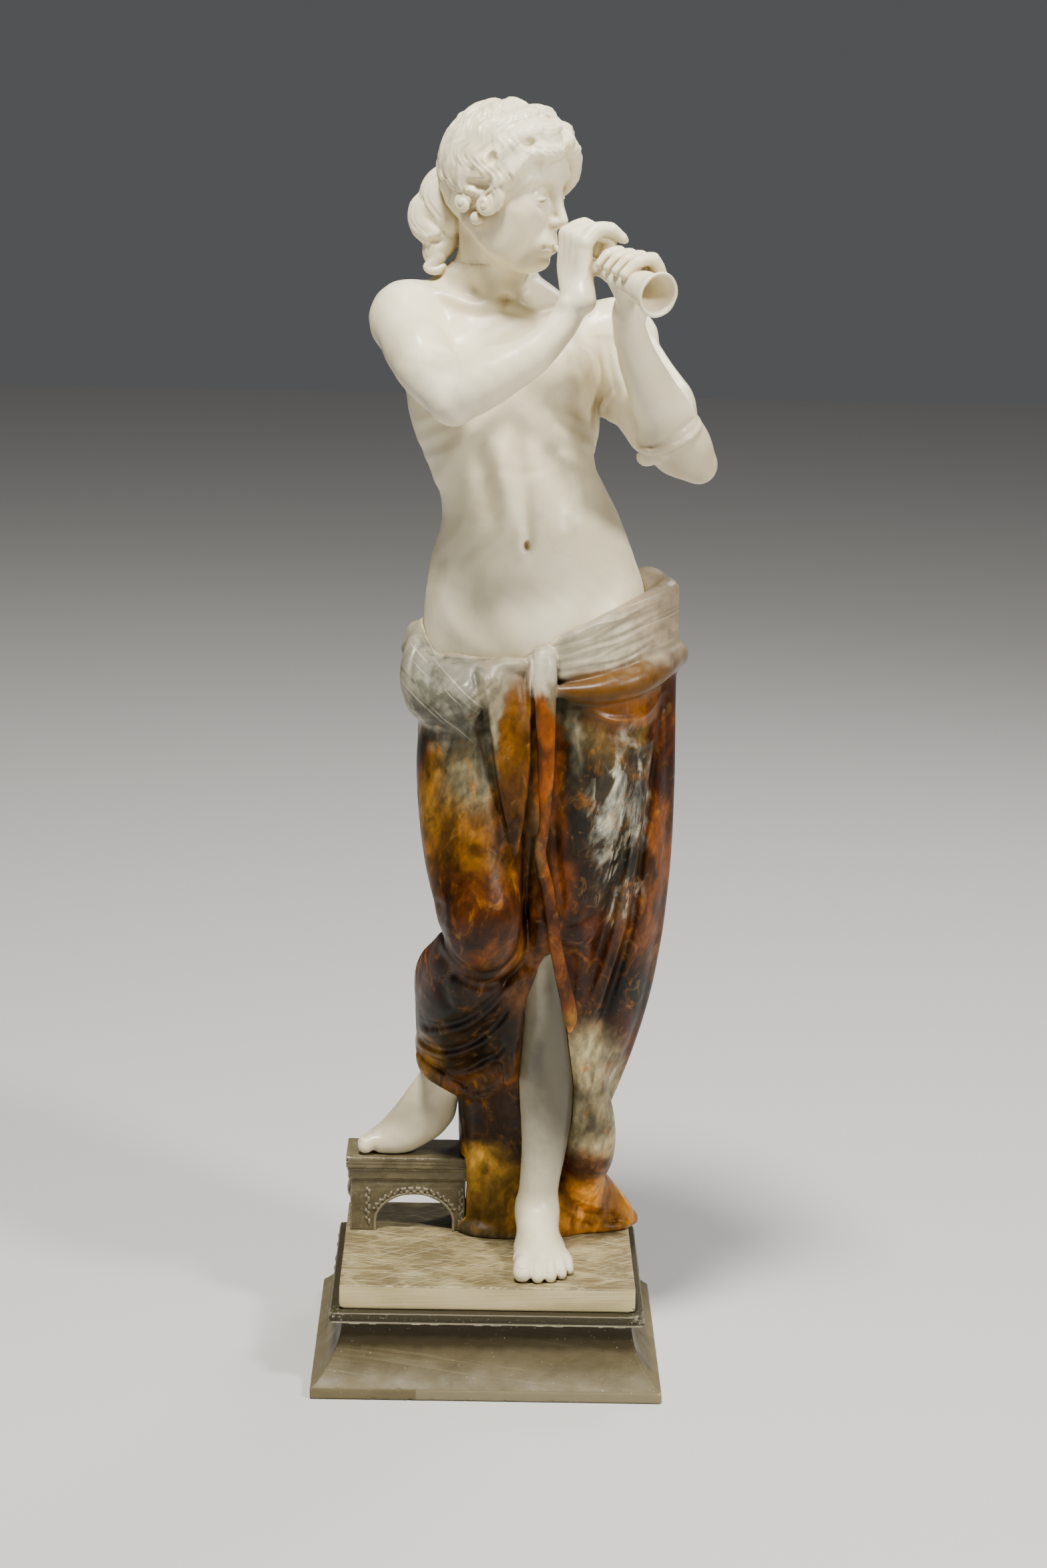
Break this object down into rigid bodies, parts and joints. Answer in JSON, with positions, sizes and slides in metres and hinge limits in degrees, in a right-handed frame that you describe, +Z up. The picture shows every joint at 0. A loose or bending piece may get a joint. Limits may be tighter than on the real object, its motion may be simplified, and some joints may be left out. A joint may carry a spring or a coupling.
{
  "type": "alabaster figure sculpture",
  "caption": "Standing carved alabaster figure of a draped pipe player with one foot on a small stool, on a stepped plinth, for display indoors.",
  "frame": {"origin": "centre of the plinth's underside", "axes": "+Z up, -Y to the figure's front, +X to the figure's left"},
  "size_m": [0.2375, 0.2294, 0.797],
  "materials": {
    "cream_alabaster": "polished, slightly translucent",
    "amber_alabaster": "polished, banded amber, brown and grey",
    "beige_alabaster": "smooth, lightly worn",
    "grey_beige_alabaster": "polished, veined"
  },
  "bodies": {
    "root": {"upper_figure": "cream_alabaster", "drapery": "amber_alabaster", "standing_leg": "cream_alabaster", "raised_foot": "cream_alabaster", "footstool": "beige_alabaster", "top_slab": "beige_alabaster", "plinth": "grey_beige_alabaster"}
  },
  "joints": []
}
